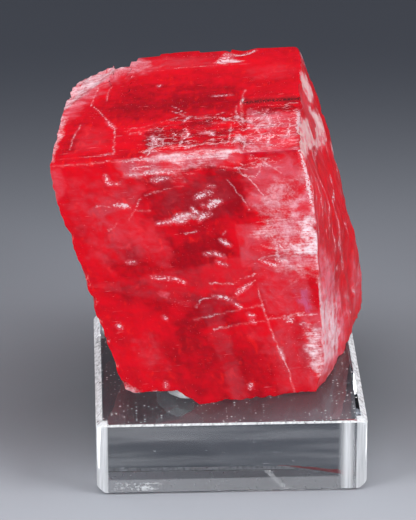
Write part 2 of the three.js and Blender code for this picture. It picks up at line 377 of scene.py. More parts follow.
RIGHT_HAIRLINES = (
    ((14, 8), (19, 10), (24, 9)),
    ((12, 13), (17, 14)),
    ((23, 5), (28, 7.5), (31, 7)),
    ((9, 5), (14, 4.5), (19, 6)),
    ((16, 22), (22, 24), (28, 23)),
    ((24, 30), (31, 32), (37, 30)),
    ((6, 8.5), (10, 8), (13, 9.5)),
    ((28, 12), (34, 13.5), (39, 12)),
)
# Cream crusts where the break is weathered.
RIGHT_CRUSTS = (
    (0.95, 0.8, ((0, 31.5), (0, 36), (2.5, 40.5), (5, 41.5), (7.5, 43.5), (8, 41), (6.5, 35),
                 (4.5, 32))),
    (0.95, 0.7, ((-1, 0), (-1, 9), (0.5, 14), (4, 22.5), (6, 24.5), (9, 23.5), (7, 15.5),
                 (5.2, 9), (3.8, 2), (1.5, -0.5))),
    (0.85, 1, ((5.3, 30.5), (10, 39.5), (13.7, 44.8), (15.2, 44), (15.3, 39.5), (14.4, 32.5), (13, 27.5),
                 (11, 23.6), (9, 23.6), (10, 29), (9, 31.5), (6.5, 30))),
)
RIGHT_MILK = (
    (1.25, 3, ((22, 3), (28, 0), (46, 0), (49, 14), (44, 22), (32, 14))),
    (0.60, 1.5, ((35.5, 29), (41.5, 35.5), (47, 34), (45.5, 26.5), (39, 26))),
    (0.16, 2, ((2, 0), (16, 0), (16, 10), (6, 14))),
    (0.28, 2.5, ((14, 0), (26, 0), (26, 5), (14, 4))),
    (0.30, 2, ((0, 20), (10, 26), (10, 36), (0, 34))),
)
RIGHT_FROST = (
    (0.62, 1, ((24, -0.5), (43, 0), (46, 4), (38, 3), (28, 1.6))),
    (0.66, 3, ((30, 2), (46, 3), (47, 16), (36, 13))),
)

# Each face's marks, with the two crystal axes that lie in it.
FACE_MARKS = (
    ("front", (ACROSS, DOWN), FRONT_SCUFFS, FRONT_HAIRLINES,
     {"frost": FRONT_FROST, "milk": FRONT_MILK, "deep": FRONT_DEEP, "shatter": FRONT_SHATTER,
      "fringe": FRONT_FRINGE}),
    ("top", (ACROSS, BACK), TOP_SCUFFS, TOP_HAIRLINES,
     {"frost": TOP_FROST, "milk": TOP_MILK, "deep": TOP_DEEP, "shatter": TOP_SHATTER}),
    ("right", (DOWN, BACK), RIGHT_SCUFFS, RIGHT_HAIRLINES,
     {"frost": RIGHT_FROST, "milk": RIGHT_MILK, "crust": RIGHT_CRUSTS}),
)

EDGE_CHIPS = (
    (-1.1, 21.9, 0, 1.2, 0.45),
    (-1, 23.5, 0, 1, 0.40),
    (-1, 26.8, 0, 1.4, 0.50),
    (-0.9, 30.8, 0, 0.9, 0.30),
    (-0.8, 34.8, 0, 1, 0.35),
    (-0.7, 39.8, 0, 1.1, 0.35),
    (-0.6, 43.9, 0, 1.2, 0.45),
    (-0.7, 45, 0, 2.4, 0.80),
    (37.5, 47.6, 0, 2.2, 0.60),
    (33, 49.1, 0, 1.2, 0.40),
    (24, 49.1, 0, 1, 0.50),
    (18, 49.1, 0, 1.6, 0.50),
    (35.5, 0, 48.4, 3.4, 0.70),
    (47.9, 0, 48.4, 2, 0.70),
    (47.9, 2, 30, 2.6, 0.60),
    (47.9, 0, 14, 2.4, 0.50),
)

FAR = 5.0  # a mark's distance isn't kept past this, in mm
KINK = 0.35  # how far hairlines stray from their lines, in mm
SCUFF_TIP = 0.3  # how wide a scuff is at its ends for its middle

# What the surface keeps at each point: distances in mm for the first two, then shares.
MARK_NAMES = (
    "scuff", "hairline", "frost", "milk", "deep", "shatter", "crust", "fringe", "riser", "broken",
)


# ---- shader wiring ----


def pick(sockets, key):
    """A node's socket by its place or name; with no key, the first that is in use."""
    if isinstance(key, int):
        return sockets[key]
    for socket in sockets:
        if socket.enabled and key in (None, socket.name):
            return socket
    raise KeyError(key)


class Wire:
    """A socket's value in a node tree. Arithmetic on it adds Math nodes."""

    def __init__(self, wiring, socket):
        self.wiring = wiring
        self.socket = socket

    def maths(self, operation, *values):
        return self.wiring.node("ShaderNodeMath", {"operation": operation}, dict(enumerate(values)))

    def __add__(self, other):
        return self.maths("ADD", self, other)

    def __radd__(self, other):
        return self.maths("ADD", other, self)

    def __sub__(self, other):
        return self.maths("SUBTRACT", self, other)

    def __rsub__(self, other):
        return self.maths("SUBTRACT", other, self)

    def __mul__(self, other):
        return self.maths("MULTIPLY", self, other)

    def __rmul__(self, other):
        return self.maths("MULTIPLY", other, self)

    def either(self, other):
        """The larger of two values."""
        return self.maths("MAXIMUM", self, other)

    def both(self, other):
        """The smaller of two values."""
        return self.maths("MINIMUM", self, other)

    def swing(self, strength):
        """A grain's swing to either side of its middle."""
        return (self - 0.5) * strength

    def rise(self, low, high):
        """0 below low and 1 above high, with a smooth slope between; falls if low is above high."""
        if low > high:
            return 1.0 - self.rise(high, low)
        settings = {"interpolation_type": "SMOOTHSTEP"}
        inputs = {"Value": self, "From Min": low, "From Max": high}
        return self.wiring.node("ShaderNodeMapRange", settings, inputs)


class Wiring:
    """The node tree of a material or a world, while it is being wired."""

    def __init__(self, owner):
        owner.use_nodes = True
        self.tree = owner.node_tree
        self.tree.nodes.clear()

    def node(self, kind, settings=None, inputs=None, output=None):
        """A new node: its settings are made first, then its sockets are set or joined."""
        node = self.tree.nodes.new(kind)
        for name, value in (settings or {}).items():
            setattr(node, name, value)
        for key, value in (inputs or {}).items():
            socket = pick(node.inputs, key)
            if isinstance(value, Wire):
                self.tree.links.new(value.socket, socket)
            else:
                socket.default_value = value
        return Wire(self, pick(node.outputs, output)) if node.outputs else None

    def attribute(self, name):
        return self.node("ShaderNodeAttribute", {"attribute_name": name}, output="Fac")

    def stretched(self, vector, sizes):
        """Coordinates whose unit is the given size along each axis."""
        scale = tuple(1.0 / size for size in sizes)
        return self.node("ShaderNodeVectorMath", {"operation": "MULTIPLY"}, {0: vector, 1: scale})

    def grain(self, vector, detail, roughness, distortion=0.0):
        """Soft noise from 0 to 1, about one lump to each unit of the coordinates."""
        inputs = {
            "Vector": vector, "Scale": 1.0, "Detail": detail,
            "Roughness": roughness, "Distortion": distortion,
        }
        return self.node("ShaderNodeTexNoise", None, inputs, "Fac")

    def grains(self, place, kinds):
        """Several grains at once, by name, from their sizes, detail, roughness and distortion."""
        made = SimpleNamespace()
        for name, (size, *rest) in kinds.items():
            setattr(made, name, self.grain(self.stretched(place, size), *rest))
        return made

    def blend(self, factor, first, second):
        """A colour between two others."""
        settings = {"data_type": "RGBA", "clamp_factor": True}
        return self.node("ShaderNodeMix", settings, {"Factor": factor, "A": first, "B": second})


def rgba(colour):
    return (*colour, 1.0)


def frame_to_crystal(wiring):
    """The across, down and back coordinates of the surface, in mm, as a vector."""
    place = wiring.node("ShaderNodeTexCoord", output="Object")
    parts = {}
    for axis, row in enumerate(FROM_FRAME):
        share = wiring.node(
            "ShaderNodeVectorMath", {"operation": "DOT_PRODUCT"}, {0: place, 1: tuple(row / MM)}, "Value"
        )
        parts[axis] = share - float(row @ CORNER)
    return wiring.node("ShaderNodeCombineXYZ", None, parts)


# ---- materials ----

# Each grain: the size of its lumps along each axis, its detail, roughness and distortion.
CRYSTAL_GRAINS = {  # across, down and back, in mm
    "cloud": ((11, 9, 9), 4.0, 0.6),
    "smoke": ((4.2, 3.0, 3.0), 5.0, 0.62, 1.2),
    "mottle": ((1.8, 1.3, 1.5), 4.0, 0.65),
    "streak": ((7, 1.1, 1.1), 4.0, 0.65, 0.4),
    "column": ((1.6, 14, 2.4), 3.0, 0.6, 0.3),
    "hair": ((5.0, 0.24, 0.5), 2.0, 0.5, 0.3),
    "fine": ((0.55, 0.50, 0.50), 4.0, 0.7),
    "dusting": ((0.35, 0.25, 0.25), 2.0, 0.7),
    "fibre": ((0.9, 9, 1.3), 4.0, 0.6, 0.6),
    "shaft": ((1.3, 2.6, 10), 3.0, 0.6, 0.5),
}
BLOCK_GRAINS = {  # x, y and z, in m
    "reeds": ((0.8 * MM, 0.8 * MM, 16 * MM), 3.0, 0.6),
    "bands": ((45 * MM, 45 * MM, 3.4 * MM), 3.0, 0.5),
    "patches": ((12 * MM, 12 * MM, 8 * MM), 3.0, 0.6),
    "fine": ((0.7 * MM, 0.9 * MM, 0.8 * MM), 4.0, 0.7),
    "hair": ((6 * MM, 0.6 * MM, 0.4 * MM), 2.0, 0.5, 0.8),
}
CELL_SIZE = (5.5, 1.9, 2.4)  # cells between cracks: across, down and back, in mm
SMALL_CELLS = 2.3  # how many times finer the small cracks are
SPECKS_PER_METRE = 1300.0  # specks of dust along each axis

# The painted shadow beside and under the block is an oval. Its reach is measured sideways, in m.
SHADE_DEPTH = 0.45  # how deep the oval is for its width
SHADE_MIDDLE = 0.035  # how far back its middle is, in the same stretched measure
SHADE_START, SHADE_END = 0.015, 0.120  # where it is darkest, and where it ends
PALE_CORE = 0.15  # the share of the pale reach that stays fully pale
FAR_MARGIN = 0.03  # how far past the pale reach the floor starts to melt away, in m
FAR_END = 2.0  # where it has melted away, in pale reaches
BLACK = (0.0, 0.0, 0.0, 1.0)


def crack_web(w, lie, grain):
    """Bent cells between cracks: how near the coarse and fine cracks are, and each cell's own shade."""
    stray = w.node("ShaderNodeCombineXYZ", None, {
        0: grain.fine * 0.5, 1: grain.streak * 0.7, 2: grain.fine * 0.6,
    })
    cells = w.stretched(lie, CELL_SIZE)
    bent = w.node("ShaderNodeVectorMath", {"operation": "ADD"}, {0: cells, 1: stray})
    near = {"feature": "DISTANCE_TO_EDGE"}
    coarse = w.node("ShaderNodeTexVoronoi", near, {"Vector": bent, "Scale": 1.0}, "Distance")
    small = w.node("ShaderNodeTexVoronoi", near, {"Vector": bent, "Scale": SMALL_CELLS}, "Distance")
    shade = w.node("ShaderNodeTexVoronoi", None, {"Vector": bent, "Scale": 1.0}, "Color")
    facet = w.node("ShaderNodeSeparateColor", None, {0: shade}, "Red") - 0.5
    return coarse, small, facet


def frost_share(grain, mark):
    """Frosted patches, broken into wisps, with level streaks where the crystal is shattered."""
    wisps = grain.fine.swing(1.5) + grain.smoke.swing(1.0) + grain.column.swing(0.5)
    wisps = wisps + grain.mottle.swing(1.3) + grain.dusting.swing(1.3)
    wisps = wisps + grain.hair.swing(2.6) * mark.shatter
    return (mark.frost * (0.50 + grain.smoke * 0.8) + mark.frost * wisps).rise(0.14, 1.02)


def crust_share(grain, mark):
    """Mottled crusts whose outlines fade."""
    lumps = mark.crust * 0.62 + grain.mottle.swing(1.8) + grain.fine.swing(1.3) + grain.smoke.swing(1.4)
    return lumps.rise(0.20, 0.90) * mark.crust.rise(0.02, 0.35) * 0.9


def scratch_share(grain, mark):
    """Hairlines, which come and go along their length."""
    strength = 0.05 + 0.52 * (grain.cloud * 0.5 + grain.mottle * 0.5 + grain.fine * 0.3).rise(0.58, 0.78)
    return (mark.hairline + grain.dusting.swing(0.5)).rise(0.24, 0.04) * strength


def white_damage(grain, mark, coarse, small):
    """How white the surface is in all, and the shares of that which are scuffs and cracks."""
    ragged = mark.scuff + (grain.fine - 0.45) * 2.2 + grain.dusting.swing(2.2) + grain.mottle.swing(0.7)
    scuffed = ragged.rise(0.16, -0.16) * (0.55 + 0.45 * grain.dusting.rise(0.40, 0.56))

    torn = mark.shatter * 0.40 + grain.cloud.swing(1.6) + grain.streak.swing(1.7)
    shattered = mark.shatter.rise(0.1, 0.4)
    cracks = coarse.rise(0.042, 0.0) * torn.rise(0.36, 0.72) * shattered
    crackle = small.rise(0.055, 0.0) * (torn + grain.mottle * 0.8).rise(0.70, 1.15) * shattered * 0.75

    flakes = (grain.dusting + grain.fine * 0.4 + mark.shatter * 0.22).rise(1.10, 1.20)
    flakes = flakes * (mark.shatter * 0.8 + 0.2)
    flecks = (grain.dusting + grain.cloud * 0.3).rise(0.86, 0.92) * 0.5
    hairs = grain.hair.rise(0.70, 0.77) * grain.cloud.rise(0.44, 0.58) * (1.0 - mark.broken) * 0.32
    lobes = (grain.fibre * 0.75 + grain.cloud * 0.5 + grain.mottle * 0.35).rise(0.88, 1.02)
    lobes = lobes * mark.broken * 0.40

    white = scuffed
    for share in (
        frost_share(grain, mark), cracks * 0.9, crackle, flakes, flecks, hairs, lobes,
        scratch_share(grain, mark), crust_share(grain, mark),
    ):
        white = white.either(share)
    return white, scuffed, cracks


def body_red(w, looks, grain, mark, facet):
    """The body's red: deep where it is clear, with some dark reflections painted in, paler where sheets
    inside it are milky, with painted glints from sheets inside and painted shade along the riser.
    """
    clear = grain.cloud * 0.8 + grain.mottle * 0.4 + grain.smoke * 0.6 + grain.column * 0.3
    # Darker where the deep patches lie; some of these are painted dark reflections from sheets inside.
    shut = mark.deep * (0.3 + grain.mottle * 0.6) + facet * mark.shatter * 0.5
    colour = w.blend((clear + shut).rise(0.80, 1.50), rgba(looks.bright), rgba(looks.deep))

    # Painted glints: warm bright flashes where sheets inside the crystal catch the light.
    glow = (grain.smoke * 0.6 + grain.shaft * 0.6).rise(0.64, 0.80) * (1.0 - mark.deep) * 0.7
    colour = w.blend(glow, colour, rgba(looks.painted_glint))

    sheets = 0.30 + grain.smoke.rise(0.36, 0.64) * 0.7 + grain.mottle.swing(1.2)
    veil = mark.milk * (sheets + facet * mark.shatter * 0.6)
    halo = (mark.scuff + grain.fine.swing(1.2)).rise(0.8, 0.0) * 0.35
    halo = halo.either(mark.crust * (0.2 + grain.smoke)).either(mark.hairline.rise(0.7, 0.0) * 0.08)
    ridges = mark.broken * grain.fibre.rise(0.50, 0.74) * 0.22
    veiled = veil.either(halo).either(ridges) * looks.milkiness
    colour = w.blend(veiled, colour, rgba(looks.milk))

    bands = (grain.column * 0.6 + grain.shaft * 0.6).rise(0.52, 0.64)
    colour = w.blend(mark.fringe * bands, colour, rgba(looks.lilac))
    # Painted shade: the strip along the riser is darkened to near-black.
    return w.blend(mark.riser * grain.dusting.rise(0.64, 0.50), colour, rgba(looks.painted_riser_shade))


def crystal_material(looks):
    """Clear red crystal with milky sheets inside, white scuffs and rough breaks."""
    material = bpy.data.materials.new("rhodochrosite")
    w = Wiring(material)
    lie = frame_to_crystal(w)
    grain = w.grains(lie, CRYSTAL_GRAINS)
    mark = SimpleNamespace(**{name: w.attribute(name) for name in MARK_NAMES})
    coarse, small, facet = crack_web(w, lie, grain)
    white, scuffed, cracks = white_damage(grain, mark, coarse, small)

    height = grain.fine * 0.5 + grain.streak * 0.3 + grain.mottle * 0.4
    height = height + mark.broken * grain.fibre * 1.2 - scuffed * 0.6 - cracks * 0.6
    normal = w.node("ShaderNodeBump", None, {"Height": height, "Strength": 0.35, "Distance": 0.2 * MM})

    body = w.node("ShaderNodeBsdfPrincipled", {"subsurface_method": "RANDOM_WALK"}, {
        "Base Color": body_red(w, looks, grain, mark, facet),
        "Roughness": 0.12 + 0.14 * grain.fine + 0.22 * mark.broken,
        "IOR": 1.6, "Transmission Weight": looks.clearness, "Specular IOR Level": 0.12,
        "Subsurface Weight": 0.45, "Subsurface Radius": (1.0, 0.12, 0.10), "Subsurface Scale": 3 * MM,
        "Normal": normal,
    })
    chalk_colour = w.blend(grain.dusting.rise(0.40, 0.66), rgba(looks.chalk), rgba(looks.blush))
    chalk_colour = w.blend(mark.crust * grain.mottle.rise(0.30, 0.60), chalk_colour, rgba(looks.cream))
    chalk = w.node("ShaderNodeBsdfPrincipled", None, {
        "Base Color": chalk_colour, "Roughness": 0.55, "Specular IOR Level": 0.3, "Normal": normal,
    })
    surface = w.node("ShaderNodeMixShader", None, {0: white, 1: body, 2: chalk})
    inside = w.node("ShaderNodeVolumeAbsorption", None, {
        "Color": rgba(looks.inside), "Density": looks.depth_of_colour,
    })
    w.node("ShaderNodeOutputMaterial", None, {"Surface": surface, "Volume": inside})
    return material


def block_edges(along, looks):
    """The ground edges: the wide bevels at the sides and the narrow ones; and the upright corners, whose
    frost is a painted highlight for light bent through the clear rounded corners.
    """
    half, top = BLOCK_HIGH.x, BLOCK_HIGH.z
    radius, wide, narrow = looks.corner_radius, looks.side_bevel, looks.edge_bevel
    side = along["X"].rise(half - 1.02 * wide, half - 0.98 * wide)
    side = side * along["Z"].rise(top - wide, top - 0.9 * wide)
    rim = along["Y"].rise(half - 1.05 * narrow, half - 0.95 * narrow)
    rim = rim * along["Z"].rise(top - 1.05 * narrow, top - 0.95 * narrow)
    # Painted highlight: frost along the upright corners, which are clear.
    corner = along["X"].both(along["Y"]).rise(half - 1.02 * radius, half - 0.85 * radius)
    return (side * 0.92).either(rim * 0.80), corner


def block_front(signed, grain):
    """Marks on the front: a painted highlight band by the right corner, level brighter streaks, a painted
    lighter strip along the bottom, and a grazed lower left.
    """
    half = BLOCK_HIGH.x
    x, z = signed["X"], signed["Z"]
    front = signed["Y"].rise(0.1 * MM - half, -half)
    # Painted highlight: a bright upright band beside the right corner, for light bent through it.
    beam = x.rise(half - 5.8 * MM, half - 4.0 * MM) * x.rise(half - 2.0 * MM, half - 3.6 * MM)
    beam = beam * (0.10 + 1.1 * grain.reeds)
    bright_streaks = grain.bands.rise(0.40, 0.68) * z.rise(3.2 * MM, 6.0 * MM) * 0.15
    # Painted light: a lighter strip along the bottom of the front.
    strip = z.rise(3.1 * MM, 2.8 * MM) * 0.18
    low_left = x.rise(-12 * MM, -15 * MM) * x.rise(-23 * MM, -21 * MM)
    low_left = low_left * z.rise(2.9 * MM, 1.9 * MM) * z.rise(0.4 * MM, 0.8 * MM)
    grazed = low_left * (grain.fine + grain.patches * 0.3 + grain.hair.swing(0.8)).rise(0.60, 0.76)
    return front * beam.either(bright_streaks).either(strip).either(grazed * 0.7)


def block_dust(w, place, upward, grain):
    """Specks of dust of many sizes that lie in patches on the block's top."""
    flat = {"voronoi_dimensions": "2D"}
    inputs = {"Vector": place, "Scale": SPECKS_PER_METRE}
    nearness = w.node("ShaderNodeTexVoronoi", flat, inputs, "Distance")
    shade = w.node("ShaderNodeTexVoronoi", flat, inputs, "Color")
    size = w.node("ShaderNodeSeparateColor", None, {0: shade}, "Red").rise(0.58, 1.0) * 0.25
    return (size - nearness).rise(0.0, 0.05) * (0.12 + 0.88 * grain.patches.rise(0.40, 0.60)) * upward


def block_material(looks):
    """Clear acrylic with dust, hairline scratches and frosted edges, and painted highlights on the upright
    corners and the front.
    """
    material = bpy.data.materials.new("clear_acrylic")
    w = Wiring(material)
    place = w.node("ShaderNodeTexCoord", output="Object")
    spread = w.node("ShaderNodeVectorMath", {"operation": "ABSOLUTE"}, {0: place})
    along = {axis: w.node("ShaderNodeSeparateXYZ", None, {0: spread}, axis) for axis in "XYZ"}
    signed = {axis: w.node("ShaderNodeSeparateXYZ", None, {0: place}, axis) for axis in "XYZ"}
    grain = w.grains(place, BLOCK_GRAINS)

    edge, corner = block_edges(along, looks)
    ground = edge * (0.70 + grain.fine.swing(1.6)).rise(0.10, 0.95)
    # The ground bevels are real frost; the corners' frost is a painted highlight.
    frost_and_corner_highlight = ground.either(corner * (0.20 + 1.1 * grain.reeds))
    upward = along["Z"].rise(BLOCK_HIGH.z - 0.2 * MM, BLOCK_HIGH.z)
    dust = block_dust(w, place, upward, grain)
    scratches = grain.hair.rise(0.72, 0.75) * grain.patches.rise(0.46, 0.60)
    # Real dust, scratches and ground edges, mixed with painted light: the corner highlight and the front's
    # bright band and strip.
    wear_and_painted_light = (dust * 0.8).either(scratches * 0.55).either(frost_and_corner_highlight * 0.85).either(block_front(signed, grain))

    clear = w.node("ShaderNodeBsdfPrincipled", None, {
        "Base Color": rgba(looks.surface), "Roughness": 0.015, "IOR": 1.49, "Transmission Weight": 1.0,
    })
    frost = w.node("ShaderNodeBsdfPrincipled", None, {
        "Base Color": rgba(looks.frost), "Roughness": 0.5,
    })
    surface = w.node("ShaderNodeMixShader", None, {0: wear_and_painted_light, 1: clear, 2: frost})
    inside = w.node("ShaderNodeVolumeAbsorption", None, {
        "Color": rgba(looks.inside), "Density": looks.depth_of_colour,
    })
    w.node("ShaderNodeOutputMaterial", None, {"Surface": surface, "Volume": inside})
    return material


def tack_material(looks):
    """Off-white putty with a satin skin and finger marks."""
    material = bpy.data.materials.new("white_tack")
    w = Wiring(material)
    place = w.node("ShaderNodeTexCoord", output="Object")
    lumps = w.grain(w.stretched(place, (2 * MM, 2 * MM, 1 * MM)), 4.0, 0.6)
    shaded = rgba(0.8 * part for part in looks.tack)
    colour = w.blend(lumps, rgba(looks.tack), shaded)
    normal = w.node("ShaderNodeBump", None, {"Height": lumps, "Strength": 0.4, "Distance": 0.4 * MM})
    putty = w.node("ShaderNodeBsdfPrincipled", None, {
        "Base Color": colour, "Roughness": 0.35, "Subsurface Weight": 0.3,
        "Subsurface Radius": (1.0, 0.9, 0.8), "Subsurface Scale": 1 * MM, "Normal": normal,
    })
    w.node("ShaderNodeOutputMaterial", None, {"Surface": putty})
    return material


def floor_material(looks):
    """A pale sweep whose colour is painted light, darkening away from the object, with a painted shadow
    beside the block; far off it melts into the backdrop.
    """
    material = bpy.data.materials.new("floor")
    w = Wiring(material)
    place = w.node("ShaderNodeTexCoord", output="Object")
    inputs = {0: place, 1: (0.0, looks.pale_middle, 0.0)}
    away = w.node("ShaderNodeVectorMath", {"operation": "DISTANCE"}, inputs, "Value")
    # Painted light: the floor is palest near the pale middle and darkens with distance, as light falls off.
    painted_falloff = away.rise(PALE_CORE * looks.pale_reach, looks.pale_reach)
    colour = w.blend(painted_falloff, rgba(looks.pale), rgba(looks.dim))
    inputs = {0: w.stretched(place, (1.0, SHADE_DEPTH, 1.0)), 1: (0.0, SHADE_MIDDLE, 0.0)}
    beside = w.node("ShaderNodeVectorMath", {"operation": "DISTANCE"}, inputs, "Value")
    # Painted shadow: the oval beside the block is darkened toward black.
    colour = w.blend(beside.rise(SHADE_END, SHADE_START) * looks.painted_shade, colour, BLACK)
    far = away.rise(looks.pale_reach + FAR_MARGIN, FAR_END * looks.pale_reach)
    paper = w.node("ShaderNodeBsdfPrincipled", None, {
        "Base Color": w.blend(far, colour, BLACK), "Roughness": 0.9, "Specular IOR Level": 0.0,
        "Emission Color": w.blend(far, BLACK, rgba(looks.backdrop)), "Emission Strength": 1.0,
    })
    w.node("ShaderNodeOutputMaterial", None, {"Surface": paper})
    return material


# ---- shaping the crystal ----


def plane_place(axis, corners):
    """Where the plane through three crystal points lies along one axis, beside any points."""
    p, q, r = (np.array(corner, float) for corner in corners)
    normal = np.cross(q - p, r - p)
    beside = [k for k in range(3) if k != axis]

    def place(points):
        return p[axis] - (points[:, beside] - p[beside]) @ normal[beside] / normal[axis]

    return place


def rise(values, low, high):
    """0 below low and 1 above high, with a smooth slope between."""
    share = np.clip((values - low) / (high - low), 0.0, 1.0)
    return share * share * (3.0 - 2.0 * share)


def rough(points, sizes, seed, octaves=4):
    """Noise from about -1 to 1 at each point, with lumps of the given size along each axis."""
    scaled = points / np.array(sizes, float) + seed
    return np.array([noise.fractal(p, 0.7, 2.0, octaves) for p in scaled.tolist()])


def strays(points, sizes, seeds, octaves):
    """Noise along each of the three axes at each point."""
    return np.stack([rough(points, sizes, seed, octaves) for seed in seeds], axis=1)


def crystal_limits(points):
    """How far the crystal reaches along each axis beside each point, as (low, high) for each axis."""
    count = len(points)
    left = np.full(count, RHOMB_LOW[ACROSS])
    for corners in LEFT_BREAKS:
        left = np.maximum(left, plane_place(ACROSS, corners)(points))
    top = np.full(count, RHOMB_LOW[DOWN])
    for corners in TOP_BREAKS:
        top = np.maximum(top, plane_place(DOWN, corners)(points))
    right = np.full(count, RHOMB_HIGH[ACROSS])
    for corners in RIGHT_BREAKS:
        right = np.minimum(right, plane_place(ACROSS, corners)(points))
    foot = np.maximum(*(plane_place(DOWN, corners)(points) for corners in FOOT_BREAKS))
    resting = CORNER[2] - BLOCK_TOP - REST_GAP + points[:, [ACROSS, BACK]] @ EDGES[[ACROSS, BACK], 2]
    foot = np.minimum(np.minimum(foot, RHOMB_HIGH[DOWN]), resting / -EDGES[DOWN, 2])
    rear = np.full(count, RHOMB_HIGH[BACK])
    for corners in REAR_BREAKS:
        rear = np.minimum(rear, plane_place(BACK, corners)(points))
    wander = PARTING_WANDER * rough(points, (4, 4, 4), 7.0)
    for left_side, right_side, upper, lower, back in REAR_STEPS:
        across, down = points[:, ACROSS] + wander, points[:, DOWN] + wander
        parted = (across > left_side) & (across < right_side) & (down > upper) & (down < lower)
        rear = np.where(parted, np.minimum(rear, back), rear)
    return (left, right), (top, foot), (np.zeros(count), rear)


def stroke_distance(points, line):
    """How far each point is from a line, and how far along it the nearest place is, from 0 to 1."""
    nearest = np.full(len(points), np.inf)
    along_line = np.zeros(len(points))
    for place, (start, end) in enumerate(zip(line, line[1:])):
        start, along = np.array(start), np.subtract(end, start)
        share = np.clip((points - start) @ along / (along @ along), 0.0, 1.0)
        distance = np.linalg.norm(points - start - share[:, None] * along, axis=1)
        along_line = np.where(distance < nearest, (place + share) / (len(line) - 1), along_line)
        nearest = np.minimum(nearest, distance)
    return nearest, along_line


def patch_distance(points, outline):
    """How far each point is from a patch's outline, below zero inside it."""
    closed = outline + outline[:1]
    inside = np.zeros(len(points), bool)
    for (x1, y1), (x2, y2) in zip(closed, closed[1:]):
        if y1 == y2:
            continue
        spans = (points[:, 1] > y1) != (points[:, 1] > y2)
        crossing = x1 + (points[:, 1] - y1) * (x2 - x1) / (y2 - y1)
        inside ^= spans & (points[:, 0] < crossing)
    nearest = stroke_distance(points, closed)[0]
    return np.where(inside, -nearest, nearest)


def scuff_distance(beside, scuffs):
    """How far each point is from the nearest scuff's edge, below zero inside it. Scuffs taper."""
    nearest = np.full(len(beside), FAR)
    for half_width, line in scuffs:
        distance, along = stroke_distance(beside, line)
        bulge = SCUFF_TIP + (1.0 - SCUFF_TIP) * 4.0 * along * (1.0 - along)
        nearest = np.minimum(nearest, distance - half_width * bulge)
    return nearest


def patch_share(beside, wander, patches):
    """How much of the strongest patch each point has. A soft outline also wanders."""
    share = np.zeros(len(beside))
    for strength, softness, outline in patches:
        distance = patch_distance(beside + softness * wander, outline)
        share = np.maximum(share, strength * rise(-distance, -softness, softness))
    return share


def crystal_marks(points, faces):
    """How near each point is to a scuff and a hairline, and its share of each kind of patch."""
    wander = strays(points, (3.5, 2.5, 2.5), (81.0, 83.0, 87.0), 3)
    kink = KINK * strays(points, (1.6, 1.6, 1.6), (92.0, 93.0, 94.0), 2)
    found = {name: np.zeros(len(points)) for name in MARK_NAMES}
    for name in ("scuff", "hairline"):
        found[name] += FAR
    for name, beside, scuffs, hairlines, patches in FACE_MARKS:
        here = faces[name]
        flat = points[here][:, beside]
        found["scuff"][here] = np.minimum(found["scuff"][here], scuff_distance(flat, scuffs))
        bent = flat + kink[here][:, beside]
        for line in hairlines:
            distance = stroke_distance(bent, line)[0]
            found["hairline"][here] = np.minimum(found["hairline"][here], distance)
        for kind, outlines in patches.items():
            share = patch_share(flat, wander[here][:, beside], outlines)
            found[kind][here] = np.maximum(found[kind][here], share)
    # Painted sheen: the front face gets a faint milky veil all over.
    found["milk"][faces["front"]] = np.maximum(found["milk"][faces["front"]], FRONT_SHEEN)
    # The riser's strip is marked here for painted shade.
    on_riser = (np.abs(points[:, BACK] - LEDGE_BACK) < RISER_HALF) & (points[:, ACROSS] > LEDGE_ACROSS)
    found["riser"][faces["top"] & on_riser] = 1.0
    rough_faces = faces["right"] | faces["left"] | faces["rear"] | faces["bottom"]
    found["broken"] = np.where(rough_faces & ~faces["front"] & ~faces["top"], 1.0, 0.0)
    return found


# A sheet is off the front's lower right. Its edge, as places down and how far across they are.
SHEET_DOWN = (21.1, 29.4, 37.1, 48.1)
SHEET_ACROSS = (31.3, 30.7, 30.9, 31.6)
SHEET_TOP = 21.0
SHEET_THICKNESS = 0.16
STEP = 0.2  # half the width of a small step's slope
PIT = 0.10  # how deep scuffs are
REAR_BULGE = 0.9  # how far the rear's upper middle stands out


def face_relief(points, faces, marks):
    """How far each face's surface stands out from its flat, in mm, along that face's axis."""
    a, b, c = points.T
    pits = PIT * rise(-marks["scuff"], -0.3, 0.2)

    sheet = rise(a - np.interp(b, SHEET_DOWN, SHEET_ACROSS), -STEP, STEP)
    sheet = sheet * rise(b, SHEET_TOP - 2 * STEP, SHEET_TOP + 2 * STEP)
    front = 0.08 * rough(points, (20, 24, 30), 3.0, 2) - SHEET_THICKNESS * sheet - pits

    ledge = rise(a, LEDGE_ACROSS - LEDGE_SLOPE, LEDGE_ACROSS + LEDGE_SLOPE)
    ledge = LEDGE_DROP * ledge * rise(-c, -LEDGE_BACK - LEDGE_SLOPE, LEDGE_SLOPE - LEDGE_BACK)
    top = 0.10 * rough(points, (16, 16, 6), 11.0, 3) - ledge - pits
    top += marks["shatter"] * 0.30 * rough(points, (4.5, 4.5, 1.1), 23.0, 4)
    rim = rise(0.5 * c - a, 12, 15) * rise(-a, -10, -8)
    top += rim * 0.55 * rough(points, (3.4, 3.4, 2.6), 31.0, 5)

    fibres = rough(points, (2.4, 11, 1.5), 41.0, 4)
    lobes = rough(points, (9, 15, 6), 43.0, 3)
    right = 0.22 * fibres + 0.60 * lobes

    left = 0.35 * rough(points, (5, 4, 5), 51.0, 5)
    rear = 0.12 * rough(points, (12, 12, 12), 61.0, 4)
    rear += REAR_BULGE * rise(a, 14, 24) * rise(-a, -42, -34) * rise(-b, -12, -4)
    bottom = -0.5 * np.abs(rough(points, (3.5, 3.5, 3.5), 71.0, 5))
    reliefs = {"front": front, "top": top, "right": right, "left": left, "rear": rear, "bottom": bottom}
    return {name: np.where(faces[name], relief, 0.0) for name, relief in reliefs.items()}


